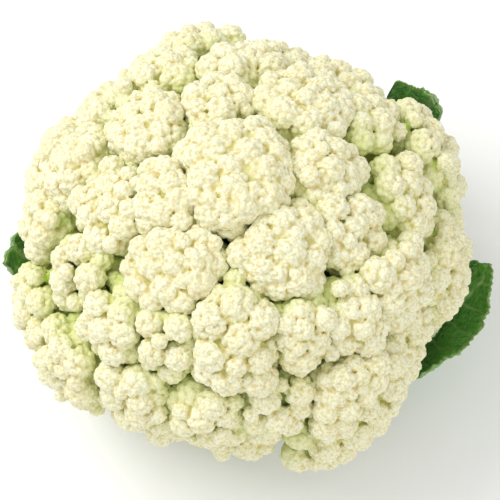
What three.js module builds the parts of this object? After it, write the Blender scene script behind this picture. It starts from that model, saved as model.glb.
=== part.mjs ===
// A cauliflower head, trimmed for market and standing upright on its cut stalk.
// The stalk carries a rounded core. Florets branch from the core in every direction, each one a
// domed cap on its own short stem, pressed against its neighbours. A few trimmed wrapper leaves
// grow from the foot of the stalk and cup the curd from below.
// Millimetres, +Z up, origin at the centre of the flat cut under the stalk.
import * as THREE from 'three';

// ---- driving dimensions -------------------------------------------------------------------
const CORE_HEIGHT = 52; // centre of the core, where the floret stems meet, above the cut
const CORE_RADIUS = 27;
const STALK_RADIUS = 25;
const BUTT_BEVEL = 2; // worn edge round the cut
const CROWN_REACH = 81; // core centre to the top of the curd
const RIM_REACH = 93; // core centre to the widest part of the curd
const FLORET_GAP = 0.4; // air between pressed florets, and between a stem and the core
const CAP_FLATNESS = 0.62; // height of a cap's dome as a share of its radius
const PRESSED = 1.36; // a cap's free radius against the radius that its neighbours leave it
const STEM_SHARE = 0.34; // stem radius as a share of the cap's radius
const NECK_SWELL = 1.15; // the stem's radius at the neck, against the radius at its foot
const NECK_AT = 0.45; // how far up from the foot to the cap's widest part the neck lies
const BRIM_RADIUS = 0.8; // underside of the cap, as shares of the cap's radius
const BRIM_BELOW = 0.35;
const LEAF_GAP = 1.2; // air between a leaf and the curd
const LEAF_FLOOR_CLEARANCE = 3;
const LEAF_BASE_HEIGHT = 13; // where the leaf stalks leave the main stalk
const BLADE_THICKNESS = 1.4;
const SWEEP_END_LEAN = 116; // below this lean the leaves leave the curd and run in to the stalk
const SWEEP_CURVE = 1.25; // 1 would be a straight sweep; more hugs the stalk for longer
const FLARE_START = 0.45; // how far up a leaf its outward flare begins
const HOLLOW_FALL = 0.9; // how fast the curd falls away beside a cap, millimetres per degree

const FLORET_SEGMENTS = 12;
const CORE_SEGMENTS = 28;
const CORE_DOME_STEPS = 6;
const CAP_DOME_TURNS = [0, 24, 46, 68]; // degrees up from the cap's widest part

const LEVEL = 90; // lean of a floret that grows straight out sideways
const radians = THREE.MathUtils.degToRad;
const CORE_CENTRE = new THREE.Vector3(0, 0, CORE_HEIGHT);

// Every floret: azimuth round the head and lean away from straight up, both in degrees, then the
// radius of its cap and how far it stands out of (or back from) the general dome, in millimetres.
const CROWN = [
  { azimuth: 150, lean: 4, radius: 21, rise: 1.5 },
  { azimuth: 192, lean: 22, radius: 13, rise: -1 },
  { azimuth: 230, lean: 31, radius: 16, rise: -1 },
  { azimuth: 301, lean: 24, radius: 16, rise: -1 },
  { azimuth: 14, lean: 25, radius: 13, rise: -3 },
  { azimuth: 56, lean: 36, radius: 18, rise: -1 },
  { azimuth: 108, lean: 29, radius: 13, rise: -3 },
  { azimuth: 338, lean: 34, radius: 15, rise: -4 },
];
const SHOULDER = [
  { azimuth: 268, lean: 44, radius: 21, rise: 2 },
  { azimuth: 292, lean: 44, radius: 13, rise: 0 },
  { azimuth: 244, lean: 48, radius: 13, rise: -2 },
  { azimuth: 224, lean: 53, radius: 15, rise: -1 },
  { azimuth: 204, lean: 54, radius: 15, rise: -3 },
  { azimuth: 186, lean: 38, radius: 17, rise: -2 },
  { azimuth: 166, lean: 54, radius: 16, rise: -1 },
  { azimuth: 143, lean: 36, radius: 16, rise: -2 },
  { azimuth: 122, lean: 54, radius: 17, rise: -2 },
  { azimuth: 90, lean: 47, radius: 15, rise: -3 },
  { azimuth: 36, lean: 50, radius: 14, rise: -3 },
  { azimuth: 4, lean: 52, radius: 15, rise: -4 },
  { azimuth: 329, lean: 50, radius: 17, rise: 0 },
  { azimuth: 312, lean: 48, radius: 14, rise: 0 },
];
const RIM = [
  { azimuth: 303, lean: 69, radius: 23, rise: 1 },
  { azimuth: 280, lean: 64, radius: 14, rise: -3 },
  { azimuth: 260, lean: 67, radius: 15, rise: -3 },
  { azimuth: 238, lean: 69, radius: 16, rise: -2 },
  { azimuth: 218, lean: 75, radius: 17, rise: 3 },
  { azimuth: 201, lean: 78, radius: 16, rise: 1 },
  { azimuth: 177, lean: 66, radius: 15, rise: -1 },
  { azimuth: 157, lean: 75, radius: 18, rise: -1 },
  { azimuth: 139, lean: 67, radius: 16, rise: -5.5 },
  { azimuth: 104, lean: 70, radius: 20, rise: 0 },
  { azimuth: 78, lean: 65, radius: 17, rise: -7 },
  { azimuth: 55, lean: 68, radius: 19, rise: -6 },
  { azimuth: 26, lean: 68, radius: 22, rise: 2 },
  { azimuth: 350, lean: 75, radius: 19, rise: -2 },
  { azimuth: 324, lean: 72, radius: 15, rise: -8 },
];
const SKIRT = [
  { azimuth: 297, lean: 93, radius: 19, rise: -1 },
  { azimuth: 267, lean: 91, radius: 18, rise: -11 },
  { azimuth: 240, lean: 93, radius: 18, rise: -10 },
  { azimuth: 214, lean: 96, radius: 17, rise: -1 },
  { azimuth: 200, lean: 102, radius: 15, rise: -2 },
  { azimuth: 153, lean: 98, radius: 20, rise: -6 },
  { azimuth: 126, lean: 91, radius: 20, rise: -8.5 },
  { azimuth: 99, lean: 96, radius: 20, rise: -4 },
  { azimuth: 74, lean: 91, radius: 19, rise: -7 },
  { azimuth: 48, lean: 96, radius: 20, rise: -6 },
  { azimuth: 21, lean: 92, radius: 18, rise: 1 },
  { azimuth: 347, lean: 97, radius: 18, rise: -9 },
  { azimuth: 318, lean: 95, radius: 15, rise: -9 },
];

// ---- materials ----------------------------------------------------------------------------
const CURD = { color: 0xe2dcb4, roughness: 0.72, metalness: 0 };
const STALK = { color: 0xc9cf8e, roughness: 0.6, metalness: 0 };
const LEAF = { color: 0x47792f, roughness: 0.5, metalness: 0 };

const head = new THREE.Group();

function addPiece(name, geometry, look) {
  geometry.computeVertexNormals();
  const piece = new THREE.Mesh(geometry, new THREE.MeshStandardMaterial(look));
  piece.name = name;
  head.add(piece);
  return piece;
}

function directionTo(azimuth, lean) {
  const level = Math.sin(radians(lean));
  return new THREE.Vector3(
    level * Math.cos(radians(azimuth)),
    level * Math.sin(radians(azimuth)),
    Math.cos(radians(lean)),
  );
}

// The general dome of the curd: shorter to the crown, longer to the rim.
function domeReach(lean) {
  return CROWN_REACH + (RIM_REACH - CROWN_REACH) * Math.sin(radians(lean)) ** 2;
}

// ---- stalk and core -----------------------------------------------------------------------
const STALK_TOP = CORE_HEIGHT - CORE_RADIUS; // above this the stalk runs evenly into the core

function trunkRadius(height) {
  const into = THREE.MathUtils.clamp((height - STALK_TOP) / CORE_RADIUS, 0, 1);
  return STALK_RADIUS + (CORE_RADIUS - STALK_RADIUS) * into;
}

function buildStalk() {
  const profile = [
    new THREE.Vector2(0, 0),
    new THREE.Vector2(STALK_RADIUS - BUTT_BEVEL, 0),
    new THREE.Vector2(STALK_RADIUS, BUTT_BEVEL),
    new THREE.Vector2(STALK_RADIUS, STALK_TOP),
  ];
  for (let step = 0; step < CORE_DOME_STEPS; step += 1) {
    const turn = (step / CORE_DOME_STEPS) * (Math.PI / 2);
    profile.push(
      new THREE.Vector2(CORE_RADIUS * Math.cos(turn), CORE_HEIGHT + CORE_RADIUS * Math.sin(turn)),
    );
  }
  profile.push(new THREE.Vector2(0, CORE_HEIGHT + CORE_RADIUS));
  const stalk = new THREE.LatheGeometry(profile, CORE_SEGMENTS);
  stalk.rotateX(Math.PI / 2); // the lathe turns about Y; the stalk stands along Z
  addPiece('stalk', stalk, STALK);
}

// ---- florets ------------------------------------------------------------------------------
const florets = [
  ...CROWN.map((spot, i) => ({ ...spot, name: `crown_floret_${i + 1}` })),
  ...SHOULDER.map((spot, i) => ({ ...spot, name: `shoulder_floret_${i + 1}` })),
  ...RIM.map((spot, i) => ({ ...spot, name: `rim_floret_${i + 1}` })),
  ...SKIRT.map((spot, i) => ({ ...spot, name: `skirt_floret_${i + 1}` })),
].map((spot) => ({
  ...spot,
  radius: spot.radius * PRESSED,
  axis: directionTo(spot.azimuth, spot.lean),
  reach: domeReach(spot.lean) + spot.rise,
}));

// Where two florets press together they meet on a plane through the core's centre. It splits the
// angle between their axes in the ratio of their radii. Returned is its normal, away from `own`.
function contactNormal(own, other) {
  const angle = own.axis.angleTo(other.axis);
  const ownShare = (angle * own.radius) / (own.radius + other.radius);
  const sideways = other.axis.clone().addScaledVector(own.axis, -Math.cos(angle)).normalize();
  return sideways.multiplyScalar(Math.cos(ownShare)).addScaledVector(own.axis, -Math.sin(ownShare));
}

// How far out from the core's centre the stem may start, clear of the core and of the stalk.
function stemStart(floret, stemRadius) {
  const tilt = radians(floret.lean);
  const clearOfCore = CORE_RADIUS + FLORET_GAP;
  if (floret.lean <= LEVEL) return clearOfCore;
  const clearOfStalk =
    (Math.max(STALK_RADIUS, CORE_RADIUS) + FLORET_GAP + stemRadius * -Math.cos(tilt)) /
    Math.sin(tilt);
  return Math.max(clearOfCore, clearOfStalk);
}

// Outline of an unpressed floret about its axis: stem, spreading neck, then a round cap.
function floretProfile(floret) {
  const { radius, reach } = floret;
  const capHeight = radius * CAP_FLATNESS;
  const widest = reach - capHeight;
  const stemRadius = radius * STEM_SHARE;
  const start = stemStart(floret, stemRadius);
  const profile = [
    new THREE.Vector2(0, start),
    new THREE.Vector2(stemRadius, start),
    new THREE.Vector2(stemRadius * NECK_SWELL, start + (widest - start) * NECK_AT),
    new THREE.Vector2(radius * BRIM_RADIUS, widest - radius * BRIM_BELOW),
  ];
  for (const degrees of CAP_DOME_TURNS) {
    const turn = radians(degrees);
    profile.push(
      new THREE.Vector2(radius * Math.cos(turn), widest + capHeight * Math.sin(turn)),
    );
  }
  profile.push(new THREE.Vector2(0, reach));
  return profile;
}

function buildFloret(floret) {
  const geometry = new THREE.LatheGeometry(floretProfile(floret), FLORET_SEGMENTS);
  const turn = new THREE.Quaternion().setFromUnitVectors(new THREE.Vector3(0, 1, 0), floret.axis);
  const back = turn.clone().invert();
  const normals = florets
    .filter((other) => other !== floret)
    .map((other) => contactNormal(floret, other).applyQuaternion(back));
  const points = geometry.attributes.position;
  for (let i = 0; i < points.count; i += 1) {
    const x = points.getX(i);
    const y = points.getY(i);
    const z = points.getZ(i);
    let keep = 1;
    for (const normal of normals) {
      const outward = normal.x * x + normal.z * z;
      const room = -normal.y * y - FLORET_GAP / 2;
      if (outward > 0) keep = Math.min(keep, room / outward);
    }
    points.setXYZ(i, x * keep, y, z * keep);
  }
  const piece = addPiece(floret.name, geometry, CURD);
  piece.position.copy(CORE_CENTRE);
  piece.quaternion.copy(turn);
}

// ---- leaves -------------------------------------------------------------------------------
// A safe distance from the core's centre in a given direction, outside every floret: full reach
// over a cap and falling away beside it.
function curdSurface(direction) {
  let surface = CORE_RADIUS;
  for (const floret of florets) {
    const away = THREE.MathUtils.radToDeg(direction.angleTo(floret.axis));
    const widest = floret.reach - floret.radius * CAP_FLATNESS;
    const halfAngle = THREE.MathUtils.radToDeg(Math.atan2(floret.radius, widest));
    surface = Math.max(surface, floret.reach - HOLLOW_FALL * Math.max(0, away - halfAngle));
  }
  return surface;
}

// Straight lines between named spots, as [position, value] pairs in rising order.
function along(spots, position) {
  const last = spots.length - 1;
  if (position <= spots[0][0]) return spots[0][1];
  for (let i = 0; i < last; i += 1) {
    const [from, low] = spots[i];
    const [to, high] = spots[i + 1];
    if (position <= to) return low + ((high - low) * (position - from)) / (to - from);
  }
  return spots[last][1];
}

// A leaf is a sheet bent from the stalk, out under the curd and up round it. `across` runs
// from -1 to 1 and `up` from 0 at the stalk to 1 at the margin. The margin's lean and the flare
// away from the curd are given across the leaf, and the rib is a thicker band down its middle.
function buildLeaf({ name, azimuth, halfSpan, waist, margin, flare, rib, ribAt, steps, look }) {
  const base = new THREE.Vector2(
    trunkRadius(LEAF_BASE_HEIGHT) + FLORET_GAP,
    LEAF_BASE_HEIGHT - CORE_HEIGHT,
  );
  const baseLean = LEVEL - THREE.MathUtils.radToDeg(Math.atan2(base.y, base.x));
  const sheet = new THREE.BoxGeometry(2, 1, 1, steps.across, steps.along, 1);
  sheet.translate(0, 0.5, 0.5);
  const points = sheet.attributes.position;
  for (let i = 0; i < points.count; i += 1) {
    const across = points.getX(i);
    const up = points.getY(i);
    const face = points.getZ(i);
    const side = azimuth + across * halfSpan * along(waist, up);
    const marginLean = along(margin, across);
    const lean = baseLean + (marginLean - baseLean) * up;
    const spread = Math.exp(-(((across - ribAt) / rib.halfWidth) ** 2));
    const thickness = BLADE_THICKNESS + rib.thickness * spread * (1 - up * rib.taper);
    const direction = directionTo(side, lean);
    const wrapped =
      curdSurface(directionTo(side, Math.min(lean, SWEEP_END_LEAN))) +
      LEAF_GAP +
      along(flare, across) * THREE.MathUtils.smoothstep(up, FLARE_START, 1);
    let inner = wrapped;
    if (lean > SWEEP_END_LEAN) {
      const out = (baseLean - lean) / (baseLean - SWEEP_END_LEAN);
      inner = base.length() + (wrapped - base.length()) * out ** SWEEP_CURVE;
    }
    if (lean > LEVEL) {
      const lowest = (CORE_HEIGHT - LEAF_FLOOR_CLEARANCE) / -Math.cos(radians(lean));
      inner = Math.min(inner, lowest - thickness);
    }
    const place = direction.multiplyScalar(inner + thickness * face).add(CORE_CENTRE);
    points.setXYZ(i, place.x, place.y, place.z);
  }
  addPiece(name, sheet, look);
}

const PETIOLE_WAIST = [[0, 0.95], [0.3, 0.7], [0.6, 0.95], [1, 1]];
const STUB_WAIST = [[0, 0.95], [0.5, 0.7], [1, 0.55]];
const STUB_ROUNDING = 2; // degrees that a cut leaf's corners lie below its middle

function buildLeaves() {
  buildLeaf({
    name: 'wrapper_leaf_right',
    azimuth: -17.5,
    halfSpan: 18.5,
    waist: PETIOLE_WAIST,
    margin: [[-1, 99], [-0.8, 95], [-0.5, 93], [0, 92], [0.6, 90.5], [0.8, 89], [1, 93]],
    flare: [[-1, 0], [-0.7, 4], [-0.4, 7.5], [0, 9.5], [0.8, 9.5], [1, 5]],
    rib: { thickness: 4, halfWidth: 0.22, taper: 0.8 },
    ribAt: 0.15,
    steps: { across: 12, along: 11 },
    look: LEAF,
  });
  buildLeaf({
    name: 'wrapper_leaf_back',
    azimuth: 42,
    halfSpan: 6.5,
    waist: [[0, 2.7], [0.4, 1.5], [1, 1]],
    margin: [[-1, 81], [-0.4, 79], [0.1, 79], [0.4, 80], [0.7, 81], [1, 80]],
    flare: [[-1, 5], [1, 4.5]],
    rib: { thickness: 4, halfWidth: 0.5, taper: 0.5 },
    ribAt: -0.5,
    steps: { across: 8, along: 10 },
    look: LEAF,
  });
  buildLeaf({
    name: 'wrapper_leaf_left',
    azimuth: 181,
    halfSpan: 5,
    waist: [[0, 3.3], [0.35, 2.1], [0.7, 1.3], [1, 1]],
    margin: [[-1, 87], [0, 86], [1, 88]],
    flare: [[-1, 1.5], [0, 2.5], [1, 2]],
    rib: { thickness: 3, halfWidth: 0.5, taper: 0.7 },
    ribAt: 0,
    steps: { across: 6, along: 10 },
    look: LEAF,
  });
  const stubs = [
    { azimuth: 88, margin: 122 }, // margin: the lean at which the blade was cut off
    { azimuth: 131, margin: 126 },
    { azimuth: 228, margin: 124 },
    { azimuth: 281, margin: 120 },
  ];
  stubs.forEach((stub, i) => {
    buildLeaf({
      name: `trimmed_leaf_${i + 1}`,
      azimuth: stub.azimuth,
      halfSpan: 20,
      waist: STUB_WAIST,
      margin: [[-1, stub.margin + STUB_ROUNDING], [0, stub.margin], [1, stub.margin + STUB_ROUNDING]],
      flare: [[-1, 0], [1, 0]],
      rib: { thickness: 6, halfWidth: 0.6, taper: 0.3 },
      ribAt: 0,
      steps: { across: 6, along: 7 },
      look: LEAF,
    });
  });
}

buildStalk();
florets.forEach(buildFloret);
buildLeaves();

export default head;
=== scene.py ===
# A cauliflower head: cream florets of grained buds on green stems, a cut stalk and trimmed leaves.
import math

import bpy
import numpy as np
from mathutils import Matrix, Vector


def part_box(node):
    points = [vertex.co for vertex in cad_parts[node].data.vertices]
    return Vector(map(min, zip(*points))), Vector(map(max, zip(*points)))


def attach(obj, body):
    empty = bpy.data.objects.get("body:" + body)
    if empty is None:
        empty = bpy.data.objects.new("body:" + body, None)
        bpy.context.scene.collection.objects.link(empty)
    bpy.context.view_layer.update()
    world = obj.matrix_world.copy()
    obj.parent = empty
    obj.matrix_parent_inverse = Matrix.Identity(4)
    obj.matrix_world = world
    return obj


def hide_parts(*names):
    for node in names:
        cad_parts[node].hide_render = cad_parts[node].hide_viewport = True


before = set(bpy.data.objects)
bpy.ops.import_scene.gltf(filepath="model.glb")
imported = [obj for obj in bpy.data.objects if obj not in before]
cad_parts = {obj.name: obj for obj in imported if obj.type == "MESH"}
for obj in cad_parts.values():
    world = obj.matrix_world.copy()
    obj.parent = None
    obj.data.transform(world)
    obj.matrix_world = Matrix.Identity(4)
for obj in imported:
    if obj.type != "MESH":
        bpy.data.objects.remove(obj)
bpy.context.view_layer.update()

import openvdb
from mathutils import Vector
from mathutils.bvhtree import BVHTree

MM = 0.001  # shapes are worked out in millimetres and handed to Blender in metres
SEED = 20

# ---- sizes, in millimetres ------------------------------------------------------------------
VOXEL = 0.55  # grid step of the curd's surface
VOXEL_BELOW = 0.7  # and of the skirt's, which is mostly hidden
PROUD = 1.9  # how far the buds' tops stand out of the plain floret
SPOTS_TRIED = 2600  # places on a floret where a knob might sit
KNOB_RADIUS = (2.7, 7.0)
KNOB_SCALE = (0.62, 0.019)  # knobs are larger on wide florets: a share, and more per millimetre
KNOB_SPACING = (1.40, 0.62)  # in knob radii: on a tight floret, and more on a loose one
BUD_SHARE = 0.15  # a bud's radius is this share of its knob's, and BUD_LEAST more
BUD_LEAST = 0.7
BUD_SINK = (0.88, 0.12)  # in bud radii, how deep buds sit in a tight knob, and less in a loose one
BUDS_ON_BALL = 3.9  # how many cover a knob, times the square of knob over bud
GRAIN_RADIUS = 0.72
GRAIN_SINK = 0.62  # in grain radii
GRAINS_ON_BALL = 3.4
VARIETY = (0.85, 1.15)  # buds and grains vary between these shares of their usual radius
FLESH_DEPTH = (2.0, 6.2)  # flesh between branches, below the CAD cap: tight, and more when loose
CREASE_REACH = 1.2  # how far the fine crease measure looks round
HOLLOW_REACH = 3.5  # and the wide one

# How loosely each floret is built: 0 is a tight dome, 1 shows its branches through the gaps.
LOOSENESS = {
    "crown": (0.0, 0.1, 0.1, 0.1, 0.4, 0.35, 0.4, 0.55),
    "shoulder": (0.55, 0.6, 0.9, 0.85, 1.0, 0.5, 0.35, 0.3, 0.75, 0.5, 0.9, 0.9, 0.4, 0.5),
    "rim": (0.3, 0.95, 0.85, 0.7, 0.7, 0.95, 0.4, 0.35, 0.45, 0.9, 0.5, 0.4, 0.9, 0.6, 0.5),
    "skirt": (0.9, 0.8, 0.8, 0.8, 0.8, 0.7, 0.7, 0.7, 0.7, 0.7, 0.95, 0.7, 0.8),
}
# Florets whose knobs are finer than the rest, by this share.
FINE_KNOBS = {"rim_floret_1": 0.72, "rim_floret_9": 0.8, "crown_floret_1": 0.9}

SIDE_VEIN_STEP = 9.5  # between a leaf's side veins, along its rib
SMALL_VEIN_STEP = 5.3
SIDE_VEIN_WIDTH = 0.42
SMALL_VEIN_WIDTH = 0.3
LEAST_BLADE = 0.7  # thickness

LEAF_SCARS = ((23, 8), (115, 11), (189, 7), (263, 12), (321, 9))  # bearing, height on the stalk

stalk_low, stalk_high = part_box("stalk")
CORE_RADIUS = (stalk_high.x - stalk_low.x) / 2 / MM
CORE = np.array([0.0, 0.0, stalk_high.z / MM - CORE_RADIUS])


# ---- mesh helpers ---------------------------------------------------------------------------
def cad_mesh(node):
    """A CAD node's corners in millimetres and its triangles."""
    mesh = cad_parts[node].data
    mesh.calc_loop_triangles()
    points = np.empty(len(mesh.vertices) * 3, np.float32)
    mesh.vertices.foreach_get("co", points)
    triangles = np.empty(len(mesh.loop_triangles) * 3, np.int32)
    mesh.loop_triangles.foreach_get("vertices", triangles)
    return points.reshape(-1, 3).astype(float) / MM, triangles.reshape(-1, 3)


def make_object(name, points, faces, material, values, places):
    """A smooth object from corners in millimetres and lists of faces with as many corners each.

    values holds numbers for each corner, and places where each face's corners lie on its map.
    """
    mesh = bpy.data.meshes.new(name)
    mesh.vertices.add(len(points))
    mesh.vertices.foreach_set("co", (points * MM).astype(np.float32).ravel())
    corners = np.concatenate([face.ravel() for face in faces]).astype(np.int32)
    sizes = np.concatenate([np.full(len(face), face.shape[1]) for face in faces])
    starts = np.concatenate([[0], np.cumsum(sizes)[:-1]]).astype(np.int32)
    mesh.loops.add(len(corners))
    mesh.loops.foreach_set("vertex_index", corners)
    mesh.polygons.add(len(sizes))
    mesh.polygons.foreach_set("loop_start", starts)
    mesh.update(calc_edges=True)
    mesh.shade_smooth()
    for key, value in values.items():
        layer = mesh.attributes.new(key, "FLOAT", "POINT")
        layer.data.foreach_set("value", np.asarray(value, np.float32))
    layer = mesh.uv_layers.new(name="OFBake", do_init=False)
    layer.uv.foreach_set("vector", places.astype(np.float32).ravel())
    mesh.materials.append(material)
    thing = bpy.data.objects.new(name, mesh)
    bpy.context.scene.collection.objects.link(thing)
    return thing


def settle(thing, slot, *nodes):
    """Every piece stays with the one body and stands for its CAD nodes; slot is not used."""
    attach(thing, "root")
    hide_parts(*nodes)


# ---- a grid of distances: below zero is inside ---------------------------------------------
class Clay:
    def __init__(self, low, high, step, band):
        self.step = step
        self.band = band
        self.first = np.floor((np.asarray(low) - 2 * step) / step).astype(int)
        last = np.ceil((np.asarray(high) + 2 * step) / step).astype(int)
        self.shape = last - self.first + 1
        self.low = self.first * step
        self.grid = np.full(self.shape, band, np.float32)

    def window(self, low, high):
        start = np.maximum(np.floor((low - self.low) / self.step).astype(int), 0)
        stop = np.minimum(np.ceil((high - self.low) / self.step).astype(int) + 1, self.shape)
        if (stop <= start).any():
            return None, None
        view = self.grid[start[0]:stop[0], start[1]:stop[1], start[2]:stop[2]]
        axes = [np.arange(start[k], stop[k]) * self.step + self.low[k] for k in range(3)]
        return view, (axes[0][:, None, None], axes[1][None, :, None], axes[2][None, None, :])

    def add_ball(self, centre, radius):
        reach = radius + 2 * self.step
        view, axes = self.window(centre - reach, centre + reach)
        if view is None:
            return
        x, y, z = axes
        away = np.sqrt((x - centre[0]) ** 2 + (y - centre[1]) ** 2 + (z - centre[2]) ** 2)
        np.minimum(view, away - radius, out=view)

    def add_branch(self, start, end, start_radius, end_radius, blend):
        """A tapering round branch, blended smoothly into what is there."""
        low = np.minimum(start - start_radius, end - end_radius) - 2 * self.step - blend
        high = np.maximum(start + start_radius, end + end_radius) + 2 * self.step + blend
        view, axes = self.window(low, high)
        if view is None:
            return
        x, y, z = (axis - start[k] for k, axis in enumerate(axes))
        run = end - start
        part = np.clip((x * run[0] + y * run[1] + z * run[2]) / (run @ run), 0, 1)
        away = np.sqrt((x - part * run[0]) ** 2 + (y - part * run[1]) ** 2
                       + (z - part * run[2]) ** 2)
        away -= start_radius + (end_radius - start_radius) * part
        mix = np.clip(0.5 + 0.5 * (view - away) / blend, 0, 1)
        view[...] = np.minimum(view, view * (1 - mix) + away * mix - blend * mix * (1 - mix))

    def add_grains(self, centres, radii):
        """Many small balls at once."""
        wide = int(math.ceil((radii.max() + 1.5 * self.step) / self.step))
        offsets = np.stack(np.meshgrid(*[np.arange(-wide, wide + 1)] * 3, indexing="ij"), -1)
        offsets = offsets.reshape(-1, 3)
        cells = np.round((centres - self.low) / self.step).astype(int)
        fits = ((cells >= wide) & (cells + wide < self.shape)).all(1)
        centres, radii, cells = centres[fits], radii[fits], cells[fits]
        flat = self.grid.reshape(-1)
        batch = 4000
        for i in range(0, len(centres), batch):
            spots = cells[i:i + batch, None, :] + offsets[None]
            away = spots * self.step + self.low - centres[i:i + batch, None, :]
            away = np.sqrt((away ** 2).sum(-1)) - radii[i:i + batch, None]
            index = np.ravel_multi_index(tuple(np.moveaxis(spots, -1, 0)), self.shape)
            np.minimum.at(flat, index.ravel(), away.ravel().astype(np.float32))

    def sample(self, points, grid=None):
        """Values at points, straight between the grid's own."""
        grid = self.grid if grid is None else grid
        place = (points - self.low) / self.step
        cell = np.clip(np.floor(place).astype(int), 0, self.shape - 2)
        part = place - cell
        total = np.zeros(len(points))
        for dx in (0, 1):
            for dy in (0, 1):
                for dz in (0, 1):
                    share = np.where(dx, part[:, 0], 1 - part[:, 0])
                    share = share * np.where(dy, part[:, 1], 1 - part[:, 1])
                    share = share * np.where(dz, part[:, 2], 1 - part[:, 2])
                    total += share * grid[cell[:, 0] + dx, cell[:, 1] + dy, cell[:, 2] + dz]
        return total

    def clean(self, inside_point):
        """Fills sealed pockets and drops loose crumbs, so that one closed skin is left."""
        solid = self.grid < 0
        outer = np.zeros_like(solid)
        outer[0] = outer[-1] = True
        outer[:, 0] = outer[:, -1] = True
        outer[:, :, 0] = outer[:, :, -1] = True
        outer = flood(outer & ~solid, ~solid)
        self.grid[~solid & ~outer] = -0.3 * self.step
        solid = ~outer
        seed = np.zeros_like(solid)
        spot = tuple(np.round((inside_point - self.low) / self.step).astype(int))
        seed[spot] = True
        body = flood(seed & solid, solid)
        self.grid[solid & ~body] = self.step

    def skin(self):
        grid = openvdb.FloatGrid(background=float(self.band))
        grid.copyFromArray(self.grid)
        points, quads = grid.convertToQuads(isovalue=0.0)
        return np.asarray(points) * self.step + self.low, np.asarray(quads)[:, ::-1]


def flood(marked, free):
    """Spreads the marked cells through the free ones, along each axis in turn."""
    count = -1
    while marked.sum() != count:
        count = marked.sum()
        for axis in range(3):
            cells = np.moveaxis(marked, axis, 0)
            room = np.moveaxis(free, axis, 0)
            for i in range(1, len(cells)):
                cells[i] |= cells[i - 1] & room[i]
            for i in range(len(cells) - 2, -1, -1):
                cells[i] |= cells[i + 1] & room[i]
    return marked


def blurred(grid, reach):
    """A box blur, run twice along each axis."""
    reach = max(1, int(round(reach)))
    for _ in range(2):
        for axis in range(3):
            cells = np.moveaxis(grid, axis, 0)
            padded = np.concatenate([np.repeat(cells[:1], reach + 1, 0), cells,
                                     np.repeat(cells[-1:], reach, 0)])
            sums = np.cumsum(padded, axis=0, dtype=np.float32)
            cells = (sums[2 * reach + 1:] - sums[:-2 * reach - 1]) / (2 * reach + 1)
            grid = np.moveaxis(cells, 0, axis)
    return grid


# ---- florets --------------------------------------------------------------------------------
def unit(vectors):
    return vectors / np.linalg.norm(vectors, axis=-1, keepdims=True)


def spiral(count, rng, jitter):
    """Directions spread over a ball on a golden spiral, turned at random and shaken a little."""
    i = np.arange(count) + 0.5
    z = 1 - 2 * i / count
    turn = i * math.pi * (3 - math.sqrt(5))
    flat = np.sqrt(1 - z * z)
    points = np.stack([flat * np.cos(turn), flat * np.sin(turn), z], 1)
    points = points + rng.normal(0, jitter, points.shape)
    frame_axes, _ = np.linalg.qr(rng.normal(size=(3, 3)))
    return unit(points) @ frame_axes


def surface_spots(points, triangles, rng, count):
    """Random spots on a mesh, evenly by area, with their normals."""
    a, b, c = (points[triangles[:, k]] for k in range(3))
    normals = np.cross(b - a, c - a)
    area = np.linalg.norm(normals, axis=1)
    normals = normals / np.maximum(area[:, None], 1e-9)
    pick = rng.choice(len(triangles), count, p=area / area.sum())
    u, v = rng.random(count), rng.random(count)
    over = u + v > 1
    u[over], v[over] = 1 - u[over], 1 - v[over]
    spots = a[pick] + u[:, None] * (b - a)[pick] + v[:, None] * (c - a)[pick]
    return spots, normals[pick]


def spread_out(spots, spacing):
    """Indices of spots that keep their spacing from each other, taken in order."""
    kept = []
    for i, spot in enumerate(spots):
        if kept:
            gap = np.linalg.norm(spots[kept] - spot, axis=1)
            if (gap < 0.5 * (spacing[kept] + spacing[i])).any():
                continue
        kept.append(i)
    return np.array(kept)


def cad_distance(clay, points, triangles, half_width):
    """Signed distance to a CAD solid on the clay's grid, right within half_width."""
    transform = openvdb.createLinearTransform(voxelSize=clay.step)
    solid = openvdb.FloatGrid.createLevelSetFromPolygons(
        points, triangles=triangles, transform=transform,
        halfWidth=half_width / clay.step)
    values = np.empty(clay.shape, np.float32)
    solid.copyToArray(values, ijk=tuple(int(v) for v in clay.first))
    return values


def ball_map(points, faces, centre, axis):
    """Places on a square map of directions: the cap fills the middle, the stem the corners."""
    side = unit(np.cross(axis, (0.3, 0.5, 0.8)))
    way = unit(points - centre) @ np.stack([side, np.cross(axis, side), axis], 1)
    corner = (way / np.abs(way).sum(1, keepdims=True))[faces]
    turn = np.where(corner.mean(1)[:, None, :2] < 0, -1.0, 1.0)
    folded = (1 - corner[..., 1::-1] * turn[..., ::-1]) * turn
    flat = np.where(corner[..., 2:] < 0, folded, corner[..., :2])
    return 0.5 + 0.49 * flat.reshape(-1, 2)


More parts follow.
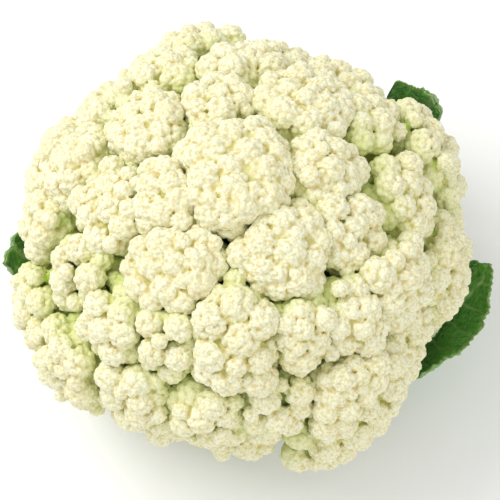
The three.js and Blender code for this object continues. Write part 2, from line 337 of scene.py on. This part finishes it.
def grow_floret(node, material, seed):
    """Buds and grains over the CAD floret's cap, on branches inside it."""
    rng = np.random.default_rng(seed)
    ring, _, place = node.split("_")
    loose = LOOSENESS[ring][int(place) - 1]
    voxel = VOXEL_BELOW if ring == "skirt" else VOXEL
    points, triangles = cad_mesh(node)
    away = np.linalg.norm(points - CORE, axis=1)
    axis = unit(points[away.argmax()] - CORE)
    along = (points - CORE) @ axis
    beside = np.linalg.norm(points - CORE - along[:, None] * axis, axis=1)
    start, reach, width = along.min(), along.max(), beside.max()
    widest = float(np.median(along[beside > 0.9 * width]))
    heart = CORE + axis * (widest - 0.35 * width)

    # knobs over the cap, the largest first and small ones filling in
    spots, normals = surface_spots(points, triangles, rng, SPOTS_TRIED)
    outward = unit(spots - heart)
    lowest = widest - width * (0.52 + 0.12 * loose)
    over_cap = (spots - CORE) @ axis > lowest
    spots, normals, outward = spots[over_cap], normals[over_cap], outward[over_cap]
    outward = unit(outward + normals)
    least, most = KNOB_RADIUS
    size = np.sort(least + (most - least) * (1 - 0.3 * loose) * rng.random(len(spots)) ** 1.5)
    size = size[::-1] * (KNOB_SCALE[0] + KNOB_SCALE[1] * width) * FINE_KNOBS.get(node, 1)
    kept = spread_out(spots, size * (KNOB_SPACING[0] + KNOB_SPACING[1] * loose))
    outward, size = outward[kept], size[kept]
    over = 0.2 * (BUD_LEAST + BUD_SHARE * size) + GRAIN_RADIUS * 0.38
    stray = np.clip(rng.normal(0, 0.3 + 0.9 * loose, len(size)), -1.0, 2.5)
    knobs = spots[kept] - outward * (size + over - PROUD + stray)[:, None]

    # buds on each knob
    buds, bud_size, bud_out, owner = [], [], [], []
    for number, (centre, radius, out) in enumerate(zip(knobs, size, outward)):
        usual = (BUD_LEAST + BUD_SHARE * radius) * rng.uniform(*VARIETY)
        count = int(BUDS_ON_BALL * (radius / usual) ** 2)
        ways = spiral(count, rng, 0.09)
        ways = ways[ways @ out > -0.5]
        radii = usual * rng.uniform(*VARIETY, len(ways))
        sink = BUD_SINK[0] - BUD_SINK[1] * loose
        buds.append(centre + ways * (radius - radii * sink)[:, None])
        bud_size.append(radii)
        bud_out.append(ways)
        owner.append(np.full(len(ways), number))
    buds, bud_size, bud_out, owner = (np.concatenate(v) for v in (buds, bud_size, bud_out, owner))
    depth = np.linalg.norm(buds[:, None] - knobs[None], axis=2) - size[None]
    depth[np.arange(len(buds)), owner] = 0
    shown = depth.min(1) > -0.5 * bud_size
    buds, bud_size, bud_out = buds[shown], bud_size[shown], bud_out[shown]

    # grains on each bud
    grains, grain_size = [], []
    for centre, radius, out in zip(buds, bud_size, bud_out):
        count = int(GRAINS_ON_BALL * (radius / GRAIN_RADIUS) ** 2)
        ways = spiral(count, rng, 0.05)
        ways = ways[ways @ out > -0.2]
        radii = GRAIN_RADIUS * rng.uniform(*VARIETY, len(ways))
        grains.append(centre + ways * (radius - radii * GRAIN_SINK)[:, None])
        grain_size.append(radii)
    grains, grain_size = np.concatenate(grains), np.concatenate(grain_size)

    low = np.minimum(grains.min(0), points.min(0)) - 1
    high = np.maximum(grains.max(0), points.max(0)) + 1
    clay = Clay(low, high, voxel, 3 * voxel)
    for centre, radius in zip(knobs, size):
        clay.add_ball(centre, radius * (0.86 - 0.1 * loose))
    for centre, radius in zip(buds, bud_size):
        clay.add_ball(centre, radius)
    kept = clay.sample(grains) > -grain_size
    clay.add_grains(grains[kept], grain_size[kept])
    curd = clay.grid.copy()

    # the stem and branches, and for a tight floret the flesh between them
    deep = FLESH_DEPTH[0] + FLESH_DEPTH[1] * loose
    flesh = cad_distance(clay, points, triangles, 9.5)
    grid_axes = [np.arange(n) * voxel + clay.low[k] - CORE[k] for k, n in enumerate(clay.shape)]
    height = (grid_axes[0][:, None, None] * axis[0] + grid_axes[1][None, :, None] * axis[1]
              + grid_axes[2][None, None, :] * axis[2])
    rise = np.clip((height - start) / (lowest - start), 0, 1)
    flesh += 0.6 + (deep - 0.6) * rise ** 1.5
    np.minimum(clay.grid, flesh, out=clay.grid)
    stem_radius = max(3.0, 0.8 * beside[along < start + 0.5].max())
    fork = CORE + axis * (start + 0.45 * (lowest - start))
    clay.add_branch(CORE + axis * (start + stem_radius * 0.4), heart, stem_radius,
                    stem_radius * 1.2, 1.0)
    for centre, radius in zip(knobs, size):
        clay.add_branch(fork, centre, stem_radius * 0.55, radius * 0.4, 1.5)
    clay.clean(heart)
    skin, quads = clay.skin()

    # how creased, how deep and how green each corner is; crease and hollow are blurred measures of
    # how shut in each corner is, which the curd material turns into painted shade
    solid = np.clip(0.5 - clay.grid / voxel, 0, 1)
    greenness, greener = min(0.15 + 1.1 * loose, 1), 0.28 * loose
    values = {
        "stem": np.clip(clay.sample(skin, curd) / 0.5, 0, 1) * greenness,
        "crease": clay.sample(skin, blurred(solid, CREASE_REACH / voxel)),
        "hollow": clay.sample(skin, blurred(solid, HOLLOW_REACH / voxel)),
        "depth": (reach - np.linalg.norm(skin - CORE, axis=1)) / width + greener,
    }
    places = ball_map(skin, quads, heart, axis)
    floret = make_object(node.replace("floret", "curd"), skin, [quads], material, values, places)
    settle(floret, "curd", node)


# ---- leaves ---------------------------------------------------------------------------------
def waves(rng, x, y, lengths, strength=1.0):
    """Smooth random bumps made of a few crossing waves of the given lengths."""
    total = np.zeros(np.broadcast(x, y).shape)
    for length in lengths:
        for _ in range(3):
            heading = rng.uniform(0, math.tau)
            phase = rng.uniform(0, math.tau)
            k = math.tau / (length * rng.uniform(0.8, 1.25))
            total += np.sin(k * (x * math.cos(heading) + y * math.sin(heading)) + phase)
    return strength * total / math.sqrt(3 * len(lengths))


class LeafRoom:
    """What a CAD leaf takes up, as seen from the core: where it is, and how near and far."""

    def __init__(self, node):
        points, triangles = cad_mesh(node)
        points = points - CORE
        tree = BVHTree.FromPolygons([Vector(p) for p in points], triangles.tolist())
        self.middle = math.atan2(points[:, 1].mean(), points[:, 0].mean())
        turn = np.arctan2(points[:, 1], points[:, 0]) - self.middle
        turn = (turn + math.pi) % math.tau - math.pi
        lean = np.arccos(points[:, 2] / np.linalg.norm(points, axis=1))
        self.turns = np.linspace(turn.min(), turn.max(), 73)
        self.leans = np.linspace(lean.min(), lean.max(), 73)
        shape = (len(self.leans), len(self.turns))
        self.near, self.far = np.full(shape, np.nan), np.full(shape, np.nan)
        for i, one_lean in enumerate(self.leans):
            for j, one_turn in enumerate(self.turns):
                way = Vector(self.way(one_turn, one_lean))
                first = tree.ray_cast(Vector(), way)[0]
                last = tree.ray_cast(way * 300, -way)[0]
                if first is not None and last is not None:
                    self.near[i, j], self.far[i, j] = first.length, last.length
        self.hit = ~np.isnan(self.near)
        for table in (self.near, self.far):
            for i in range(len(self.leans)):
                found = ~np.isnan(table[i])
                if found.any():
                    table[i] = np.interp(self.turns, self.turns[found], table[i][found])
            rows = np.flatnonzero(~np.isnan(table[:, 0]))
            for j in range(len(self.turns)):
                table[:, j] = np.interp(np.arange(len(self.leans)), rows, table[rows, j])

    def way(self, turn, lean):
        level = np.sin(lean)
        angle = self.middle + turn
        return np.stack([level * np.cos(angle), level * np.sin(angle), np.cos(lean)], -1)

    def outline(self):
        """Lean of the foot, of the margin for each turn, and the half width for each lean."""
        rows = np.flatnonzero(self.hit.any(1))
        first = self.hit.argmax(1)
        last = self.hit.shape[1] - 1 - self.hit[:, ::-1].argmax(1)
        half = np.where(self.hit.any(1), (self.turns[last] - self.turns[first]) / 2, 0)
        columns = np.flatnonzero(self.hit.any(0))
        top = self.leans[self.hit.argmax(0)]
        top = np.interp(np.arange(len(top)), columns, top[columns])
        return self.leans[rows[-1]], top, half

    def read(self, table, turn, lean):
        """A table's value at any turn and lean, straight between its own."""
        x = (turn - self.turns[0]) / (self.turns[1] - self.turns[0])
        y = (lean - self.leans[0]) / (self.leans[1] - self.leans[0])
        x = np.clip(x, 0, len(self.turns) - 1.001)
        y = np.clip(y, 0, len(self.leans) - 1.001)
        i, j = y.astype(int), x.astype(int)
        y, x = y - i, x - j
        return ((1 - y) * ((1 - x) * table[i, j] + x * table[i, j + 1])
                + y * ((1 - x) * table[i + 1, j] + x * table[i + 1, j + 1]))


def smooth_grid(values, times):
    for _ in range(times):
        padded = np.pad(values, 1, mode="edge")
        values = (padded[1:-1, 1:-1] * 4 + padded[:-2, 1:-1] + padded[2:, 1:-1]
                  + padded[1:-1, :-2] + padded[1:-1, 2:]) / 8
    return values


def slab(name, inner, outer, material, values):
    """A closed sheet between two grids of points that share one outline."""
    rows, columns = inner.shape[:2]
    points = np.concatenate([inner.reshape(-1, 3), outer.reshape(-1, 3)])
    index = np.arange(rows * columns).reshape(rows, columns)
    face = np.stack([index[:-1, :-1], index[1:, :-1], index[1:, 1:], index[:-1, 1:]], -1)
    face = face.reshape(-1, 4)
    ring = np.concatenate([index[0, :-1], index[:-1, -1], index[-1, :0:-1], index[:0:-1, 0]])
    after = np.roll(ring, -1)
    back = rows * columns
    edge = np.stack([ring, after, after + back, ring + back], 1)
    faces = np.concatenate([face, face[:, ::-1] + back, edge[:, ::-1]])

    # the near side takes the map's left half, the far side its right half, the edge a strip
    v, u = np.meshgrid(np.linspace(0, 1, rows), np.linspace(0, 1, columns), indexing="ij")
    near = np.stack([0.02 + 0.45 * u, 0.02 + 0.96 * v], -1).reshape(-1, 2)
    far = near + (0.51, 0)
    strip = near + 0.012 * np.sign(near - (0.245, 0.5)) * (np.abs(near - (0.245, 0.5))
                                                           > (0.2249, 0.4799))
    edge_map = np.stack([near[ring], near[after], strip[after], strip[ring]], 1)[:, ::-1]
    places = np.concatenate([near[face], far[face[:, ::-1]], edge_map]).reshape(-1, 2)

    a, b, c, d = (points[faces[:, k]] for k in range(4))
    volume = (a * np.cross(b, c)).sum() + (a * np.cross(c, d)).sum()
    if volume < 0:
        faces = faces[:, ::-1]
        places = places.reshape(-1, 4, 2)[:, ::-1].reshape(-1, 2)
    return make_object(name, points, [faces], material, values, places)


def grow_leaf(node, material, seed, rib_at, bites, ruffle, rib_end=None, rib_flesh=0.0):
    """A veined blade in the room of a CAD leaf.

    bites are (place, depth, width) in its margin; a negative depth is a lobe. The rib runs from
    rib_at at the foot to rib_end at the margin, and rib_flesh is the half width, in millimetres,
    of the pale flesh that shows along it.
    """
    rng = np.random.default_rng(seed)
    room = LeafRoom(node)
    foot, top, half = room.outline()
    widest = half.max()
    edge_lean = room.leans[np.flatnonzero(half > 0.97 * widest)[0]]
    columns, rows = ((220, 170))
    u = np.linspace(-1, 1, columns)[None, :]
    v = np.linspace(0, 1, rows)[:, None]
    half_width = np.interp(foot + (edge_lean - foot) * v, room.leans, half)
    margin = np.interp(u * widest, room.turns, top)
    margin = margin + np.abs(waves(rng, u * 40, 0 * u, (9, 4, 2))) * math.radians(0.5)
    for place, depth, width in bites:
        margin = margin + math.radians(depth) * np.exp(-((u - place) / width) ** 4)
    lean = foot + (margin - foot) * v
    turn = u * half_width * 0.99
    near = smooth_grid(room.read(room.near, turn, lean), 40)
    thick = smooth_grid(room.read(room.far - room.near, turn, lean), 18)

    # millimetres across and along the blade
    across = turn * np.sin(lean) * near
    along = np.concatenate([np.zeros((1, columns)), np.cumsum(np.hypot(
        np.diff(lean, axis=0) * near[1:], np.diff(near, axis=0)), axis=0)])
    rib_end = rib_at if rib_end is None else rib_end
    rib_place = rib_at + (rib_end - rib_at) * v ** 3
    rib = rib_place * half_width * np.sin(lean) * near
    off = across - rib + waves(rng, along, 0 * along, (30,), 0.5)
    wander = waves(rng, across, along, (22, 12), 0.7)
    rib_vein = np.exp(-(off / (0.7 + 1.6 * (1 - v))) ** 2)
    slope = along - 0.75 * np.abs(off) + np.where(off > 0, 0, SIDE_VEIN_STEP / 2) + wander
    side = np.abs((slope / SIDE_VEIN_STEP) % 1 - 0.5) * SIDE_VEIN_STEP * 0.8
    side_vein = np.exp(-(side / SIDE_VEIN_WIDTH) ** 2) * np.exp(-np.abs(off) / 26)
    slope = along + 1.5 * np.abs(off) + 1.7 * wander
    branch = np.abs((slope / SMALL_VEIN_STEP) % 1 - 0.5) * SMALL_VEIN_STEP * 0.55
    small_vein = np.exp(-(branch / SMALL_VEIN_WIDTH) ** 2) * 0.4
    small_vein = small_vein * (1 - np.exp(-(side / 1.2) ** 2) * 0.5)
    vein = np.maximum(np.maximum(rib_vein, side_vein * 0.8), small_vein)
    quilt = 1 - np.exp(-(side / 1.6) ** 2) - 0.5 * np.exp(-(branch / 0.8) ** 2)
    blade = v ** 1.5
    lift = ruffle * blade * waves(rng, across, along, (26, 13))
    lift += 0.35 * blade * waves(rng, across, along, (5, 3))
    lift += ruffle * 1.1 * v ** 6 * waves(rng, across, 0 * along, (11, 6))
    rim = np.minimum(np.minimum(1 - np.abs(u), 1 - v) * 30, 1)
    inner = near + lift - 0.5 * quilt * blade + 0.25 * vein * blade
    depth = np.maximum(thick * 0.9 - 0.35 * blade, LEAST_BLADE) + 0.45 * vein * blade
    depth = depth * (0.45 + 0.55 * np.sqrt(rim))
    way = room.way(turn, lean)
    both = np.concatenate
    pale = np.clip(1.25 - v * 1.9, 0, 1) + np.clip((thick - 3.2) / 2.5, 0, 1)
    if rib_flesh:
        pale = pale + np.exp(-(off / rib_flesh) ** 4)
    values = {
        "vein": both([vein.ravel(), vein.ravel()]),
        "pale": both([pale.ravel(), pale.ravel()]),
        "under": both([0 * vein.ravel(), 0 * vein.ravel() + 1]),
        "edge": both([1 - rim.ravel(), 1 - rim.ravel()]),
        "across": both([(u + 0 * v).ravel(), (u + 0 * v).ravel()]),
    }
    near_side = CORE + way * inner[..., None]
    far_side = CORE + way * (inner + depth)[..., None]
    leaf = slab(node + "_blade", near_side, far_side, material, values)
    settle(leaf, "leaf", node)


# ---- stalk ----------------------------------------------------------------------------------
def grow_stalk(material, seed):
    """The cut stalk, ridged where each leaf grew, running up into the core."""
    rng = np.random.default_rng(seed)
    points, _ = cad_mesh("stalk")
    rows, columns = ((150, 300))
    away = np.linalg.norm(points[:, :2], axis=1)
    shoulder = CORE[2] - CORE_RADIUS
    cut_radius = away[points[:, 2] < 1].max()
    trunk = away[(points[:, 2] > 1) & (points[:, 2] < shoulder + 1)].max()
    top = points[:, 2].max()
    profile = [(0, 0), (cut_radius, 0), (trunk, trunk - cut_radius), (trunk, shoulder)]
    for turn in np.linspace(0, math.pi / 2, 12):
        profile.append((CORE_RADIUS * math.cos(turn), CORE[2] + (top - CORE[2]) * math.sin(turn)))
    profile = np.array(profile)
    run = np.concatenate([[0], np.cumsum(np.linalg.norm(np.diff(profile, axis=0), axis=1))])
    place = (np.arange(1, rows + 1) / (rows + 1))[:, None] * run[-1]
    turn = np.arange(columns)[None, :] / columns * math.tau
    radius = np.interp(place, run, profile[:, 0])
    height = np.interp(place, run, profile[:, 1])
    bare = np.clip((height - 1) / 3, 0, 1) * np.clip((CORE[2] - height) / 8, 0, 1)
    ridge = np.zeros((rows, columns))
    for middle, level in LEAF_SCARS:
        gap = (turn - math.radians(middle) + math.pi) % math.tau - math.pi
        line = height - level - 2.2 * np.cos(gap * 1.8)
        ridge += np.exp(-(line / 0.9) ** 2) * np.clip((0.95 - np.abs(gap)) * 6, 0, 1)
    ridge = np.clip(ridge, 0, 1)
    dents = waves(rng, turn * trunk, height * 0.35, (14, 7), 0.22)
    radius = radius + bare * (dents + 0.5 * ridge - 0.5)
    ring = np.stack([radius * np.cos(turn), radius * np.sin(turn), height + 0 * turn], -1)
    skin = np.concatenate([ring.reshape(-1, 3), [[0, 0, 0], [0, 0, top]]])
    index = np.arange(rows * columns).reshape(rows, columns)
    after = np.roll(index, -1, axis=1)
    side = np.stack([index[:-1], after[:-1], after[1:], index[1:]], -1).reshape(-1, 4)
    low = np.full(columns, rows * columns)
    caps = np.concatenate([np.stack([low, after[0], index[0]], 1),
                           np.stack([low + 1, index[-1], after[-1]], 1)])

    # the map: round the stalk across, along the profile upward
    across = np.arange(columns) / columns
    up = (np.arange(rows) + 1) / (rows + 1)
    u, v = np.meshgrid(across, up)
    step = np.full_like(u[:-1], 1 / columns)
    side_map = np.stack([np.stack([u[:-1], v[:-1]], -1), np.stack([u[:-1] + step, v[:-1]], -1),
                         np.stack([u[:-1] + step, v[1:]], -1), np.stack([u[:-1], v[1:]], -1)], -2)
    end = across + 1 / columns
    middle = (across + end) / 2
    cap_map = np.concatenate([
        np.stack([middle, 0 * end, end, 0 * end + up[0], across, 0 * end + up[0]], 1),
        np.stack([middle, 0 * end + 1, across, 0 * end + up[-1], end, 0 * end + up[-1]], 1)])
    places = np.concatenate([side_map.reshape(-1, 2), cap_map.reshape(-1, 2)])
    both_ends = [0.0, 0.0]
    values = {
        "scar": np.concatenate([(ridge * bare).ravel(), both_ends]),
        "cut": np.concatenate([np.clip(1 - (height + 0 * turn) / 1.5, 0, 1).ravel(), [1.0, 0.0]]),
    }
    stalk = make_object("stalk_flesh", skin, [side, caps], material, values, places)
    settle(stalk, "stalk", "stalk")


# ---- materials ------------------------------------------------------------------------------
def new_material(name):
    material = bpy.data.materials.new(name)
    material.use_nodes = True
    nodes = material.node_tree.nodes
    return material, nodes, material.node_tree.links, nodes["Principled BSDF"]


def attribute(nodes, name):
    node = nodes.new("ShaderNodeAttribute")
    node.attribute_name = name
    return node.outputs["Fac"]


def ramp(nodes, links, value, low, high):
    """value stretched so that low gives 0 and high gives 1, held between them."""
    node = nodes.new("ShaderNodeMapRange")
    node.inputs["From Min"].default_value = low
    node.inputs["From Max"].default_value = high
    links.new(value, node.inputs["Value"])
    return node.outputs["Result"]


def noise(nodes, links, place, scale, detail=2.0):
    node = nodes.new("ShaderNodeTexNoise")
    node.inputs["Scale"].default_value = scale
    node.inputs["Detail"].default_value = detail
    links.new(place, node.inputs["Vector"])
    return node.outputs["Fac"]


def blend(nodes, links, share, first, second, mode="MIX"):
    """Two colours mixed; the share and either colour may be a number, a colour or a socket."""
    node = nodes.new("ShaderNodeMix")
    node.data_type = "RGBA"
    node.blend_type = mode
    sockets = [s for s in node.inputs if s.enabled]
    for socket, what in zip(sockets, (share, first, second)):
        if isinstance(what, tuple):
            socket.default_value = what
        elif isinstance(what, float) and socket.type == "RGBA":
            socket.default_value = (what, what, what, 1)
        elif isinstance(what, float):
            socket.default_value = what
        else:
            links.new(what, socket)
    return next(s for s in node.outputs if s.enabled)


def curd_material():
    material, nodes, links, shader = new_material("curd")
    place = nodes.new("ShaderNodeTexCoord").outputs["Object"]
    patches = ramp(nodes, links, noise(nodes, links, place, 55, 3), 0.38, 0.62)
    specks = ramp(nodes, links, noise(nodes, links, place, 420), 0.5, 0.75)
    grain = nodes.new("ShaderNodeTexVoronoi")
    grain.inputs["Scale"].default_value = 950
    links.new(place, grain.inputs["Vector"])
    # painted shade: the curd turns a darker tan towards the edges of each grain's cell, where the
    # grains meet
    grain_edge_shade = ramp(nodes, links, grain.outputs["Distance"], 0.42, 0.85)
    cream = blend(nodes, links, patches, (0.86, 0.85, 0.61, 1), (0.88, 0.89, 0.68, 1))
    cream = blend(nodes, links, specks, cream, (0.86, 0.80, 0.52, 1))
    cream = blend(nodes, links, grain_edge_shade, cream, (0.73, 0.64, 0.34, 1))
    # painted shade: a darker tan where the crease measure says a corner is shut in
    crease_shade = ramp(nodes, links, attribute(nodes, "crease"), 0.52, 0.70)
    cream = blend(nodes, links, crease_shade, cream, (0.72, 0.60, 0.25, 1))
    # painted shade: a darker olive where the hollow measure says a corner lies deep in a hollow
    wide = ramp(nodes, links, attribute(nodes, "hollow"), 0.55, 0.80)
    cream = blend(nodes, links, wide, cream, (0.64, 0.62, 0.22, 1))
    deep = ramp(nodes, links, attribute(nodes, "depth"), 0.35, 0.9)
    cream = blend(nodes, links, deep, cream, (0.68, 0.74, 0.28, 1))
    green = blend(nodes, links, patches, (0.50, 0.74, 0.10, 1), (0.68, 0.86, 0.24, 1))
    colour = blend(nodes, links, attribute(nodes, "stem"), cream, green)
    links.new(colour, shader.inputs["Base Color"])
    shader.inputs["Roughness"].default_value = 0.62
    shader.inputs["Specular IOR Level"].default_value = 0.3
    shader.inputs["Subsurface Weight"].default_value = 0.3
    shader.inputs["Subsurface Radius"].default_value = (1.0, 0.85, 0.45)
    shader.inputs["Subsurface Scale"].default_value = 0.0012
    bump = nodes.new("ShaderNodeBump")
    bump.invert = True
    bump.inputs["Strength"].default_value = 0.7
    bump.inputs["Distance"].default_value = 0.0004
    links.new(grain.outputs["Distance"], bump.inputs["Height"])
    links.new(bump.outputs["Normal"], shader.inputs["Normal"])
    return material


def stalk_material():
    material, nodes, links, shader = new_material("stalk")
    place = nodes.new("ShaderNodeTexCoord").outputs["Object"]
    patches = ramp(nodes, links, noise(nodes, links, place, 70, 3), 0.35, 0.65)
    colour = blend(nodes, links, patches, (0.56, 0.62, 0.27, 1), (0.70, 0.72, 0.42, 1))
    specks = ramp(nodes, links, noise(nodes, links, place, 500), 0.6, 0.75)
    colour = blend(nodes, links, specks, colour, (0.45, 0.48, 0.20, 1))
    colour = blend(nodes, links, attribute(nodes, "scar"), colour, (0.42, 0.36, 0.16, 1))
    # the cut: pale pith inside a darker ring of fibres, browned in patches where it dried
    spot = nodes.new("ShaderNodeSeparateXYZ")
    links.new(place, spot.inputs[0])
    flat = nodes.new("ShaderNodeCombineXYZ")
    links.new(spot.outputs[0], flat.inputs[0])
    links.new(spot.outputs[1], flat.inputs[1])
    length = nodes.new("ShaderNodeVectorMath")
    length.operation = "LENGTH"
    links.new(flat.outputs[0], length.inputs[0])
    fibres = ramp(nodes, links, length.outputs["Value"], 0.0135, 0.0165)
    past = ramp(nodes, links, length.outputs["Value"], 0.0205, 0.0175)
    ring = blend(nodes, links, 1.0, fibres, past, "MULTIPLY")
    cut = blend(nodes, links, ring, (0.80, 0.78, 0.56, 1), (0.55, 0.58, 0.26, 1))
    dried = ramp(nodes, links, noise(nodes, links, place, 120, 3), 0.5, 0.7)
    cut = blend(nodes, links, dried, cut, (0.52, 0.38, 0.18, 1))
    colour = blend(nodes, links, attribute(nodes, "cut"), colour, cut)
    links.new(colour, shader.inputs["Base Color"])
    shader.inputs["Roughness"].default_value = 0.45
    return material


def leaf_material(name, blade, dark, bright_end=None):
    """blade and dark are the two greens of the near side; bright_end tints one end of the leaf."""
    material, nodes, links, shader = new_material(name)
    place = nodes.new("ShaderNodeTexCoord").outputs["Object"]
    patches = ramp(nodes, links, noise(nodes, links, place, 45, 4), 0.38, 0.62)
    colour = blend(nodes, links, patches, dark, blade)
    if bright_end:
        end, low, high = bright_end
        share = ramp(nodes, links, attribute(nodes, "across"), low, high)
        colour = blend(nodes, links, share, colour, end)
    under = blend(nodes, links, 0.55, colour, (0.25, 0.42, 0.22, 1))
    colour = blend(nodes, links, attribute(nodes, "under"), colour, under)
    cells = nodes.new("ShaderNodeTexVoronoi")
    cells.feature = "DISTANCE_TO_EDGE"
    cells.inputs["Scale"].default_value = 520
    links.new(place, cells.inputs["Vector"])
    net = ramp(nodes, links, cells.outputs["Distance"], 0.10, 0.0)
    net = blend(nodes, links, 0.72, net, 0.0)
    colour = blend(nodes, links, net, colour, (0.16, 0.30, 0.08, 1))
    colour = blend(nodes, links, attribute(nodes, "vein"), colour, (0.36, 0.58, 0.22, 1))
    colour = blend(nodes, links, ramp(nodes, links, attribute(nodes, "edge"), 0.3, 1.0),
                   colour, (0.22, 0.40, 0.10, 1))
    flesh = blend(nodes, links, patches, (0.62, 0.70, 0.42, 1), (0.70, 0.76, 0.52, 1))
    colour = blend(nodes, links, attribute(nodes, "pale"), colour, flesh)
    links.new(colour, shader.inputs["Base Color"])
    shader.inputs["Roughness"].default_value = 0.42
    shader.inputs["Specular IOR Level"].default_value = 0.4
    bump = nodes.new("ShaderNodeBump")
    bump.inputs["Strength"].default_value = 0.35
    bump.inputs["Distance"].default_value = 0.0002
    links.new(cells.outputs["Distance"], bump.inputs["Height"])
    links.new(bump.outputs["Normal"], shader.inputs["Normal"])
    return material


# ---- the scene ------------------------------------------------------------------------------
CAMERA_ELEVATION = 70
LENS = 85
VIEW_WIDTH = 0.2015  # metres across the picture, at the core's centre
VIEW_SHIFT = (0.0026, 0.0008)  # metres right and up from the core's centre
FLOOR_SIZE = 40  # metres


def place_camera():
    elevation = math.radians(CAMERA_ELEVATION)
    centre = Vector(CORE) * MM + Vector((VIEW_SHIFT[0], 0, 0))
    up = Vector((0, math.sin(elevation), math.cos(elevation)))
    toward = Vector((0, -math.cos(elevation), math.sin(elevation)))
    data = bpy.data.cameras.new("camera")
    data.lens = LENS
    camera = bpy.data.objects.new("camera", data)
    camera.location = centre + up * VIEW_SHIFT[1] + toward * VIEW_WIDTH * LENS / data.sensor_width
    camera.rotation_euler = (math.pi / 2 - elevation, 0, 0)
    bpy.context.scene.collection.objects.link(camera)
    bpy.context.scene.camera = camera


def place_floor():
    bpy.ops.mesh.primitive_plane_add(size=FLOOR_SIZE, location=(0, 0, 0))
    floor = bpy.context.object
    floor.name = "floor"
    material, _, _, shader = new_material("floor")
    shader.inputs["Base Color"].default_value = (0.93, 0.93, 0.92, 1)
    shader.inputs["Roughness"].default_value = 0.9
    floor.data.materials.append(material)


def area_light(name, place, target, size, power):
    data = bpy.data.lights.new(name, "AREA")
    data.size = size
    data.energy = power
    lamp = bpy.data.objects.new(name, data)
    lamp.location = place
    lamp.rotation_euler = (Vector(target) - Vector(place)).to_track_quat("-Z", "Y").to_euler()
    bpy.context.scene.collection.objects.link(lamp)


def place_lights():
    centre = tuple(CORE * MM)
    area_light("key", (-0.55, 0.25, 0.75), centre, 0.6, 5.3)
    area_light("fill", (0.5, -0.7, 0.7), centre, 0.9, 2.5)
    world = bpy.data.worlds.new("world")
    world.use_nodes = True
    bpy.context.scene.view_settings.view_transform = "Standard"
    background = world.node_tree.nodes["Background"]
    background.inputs["Color"].default_value = (1, 1, 1, 1)
    background.inputs["Strength"].default_value = 0.72
    bpy.context.scene.world = world


place_camera()
place_floor()
place_lights()

curd = curd_material()
for number, node in enumerate(sorted(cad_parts)):
    if "floret" in node:
        grow_floret(node, curd, SEED + number)
grow_stalk(stalk_material(), SEED)
deep_green, dark_green = (0.090, 0.34, 0.040, 1), (0.036, 0.185, 0.018, 1)
big_leaf = leaf_material("leaf", deep_green, dark_green)
back_leaf = leaf_material("leaf_back", (0.05, 0.21, 0.03, 1), (0.02, 0.12, 0.015, 1),
                          ((0.21, 0.50, 0.07, 1), 0.45, 0.7))
left_leaf = leaf_material("leaf_left", (0.10, 0.34, 0.05, 1), (0.02, 0.13, 0.03, 1))
stub_leaf = leaf_material("leaf_stub", (0.12, 0.30, 0.07, 1), (0.06, 0.20, 0.04, 1))
grow_leaf("wrapper_leaf_right", big_leaf, 3, -0.3, [(1.0, 3.0, 0.12)], 0.45, rib_end=0.95)
grow_leaf("wrapper_leaf_back", back_leaf, 4, -0.62,
          [(0.56, 5.0, 0.12), (-0.3, 2.5, 0.07), (0.86, -0.5, 0.13), (0.1, 0.8, 0.28),
           (-0.65, -3.5, 0.28)], 0.25, rib_flesh=2.6)
grow_leaf("wrapper_leaf_left", left_leaf, 5, 0.0, [(0.1, -4.0, 0.8)], 1.2)
for number in (1, 2, 3, 4):
    grow_leaf(f"trimmed_leaf_{number}", stub_leaf, 5 + number, 0.0, [], 0.2)
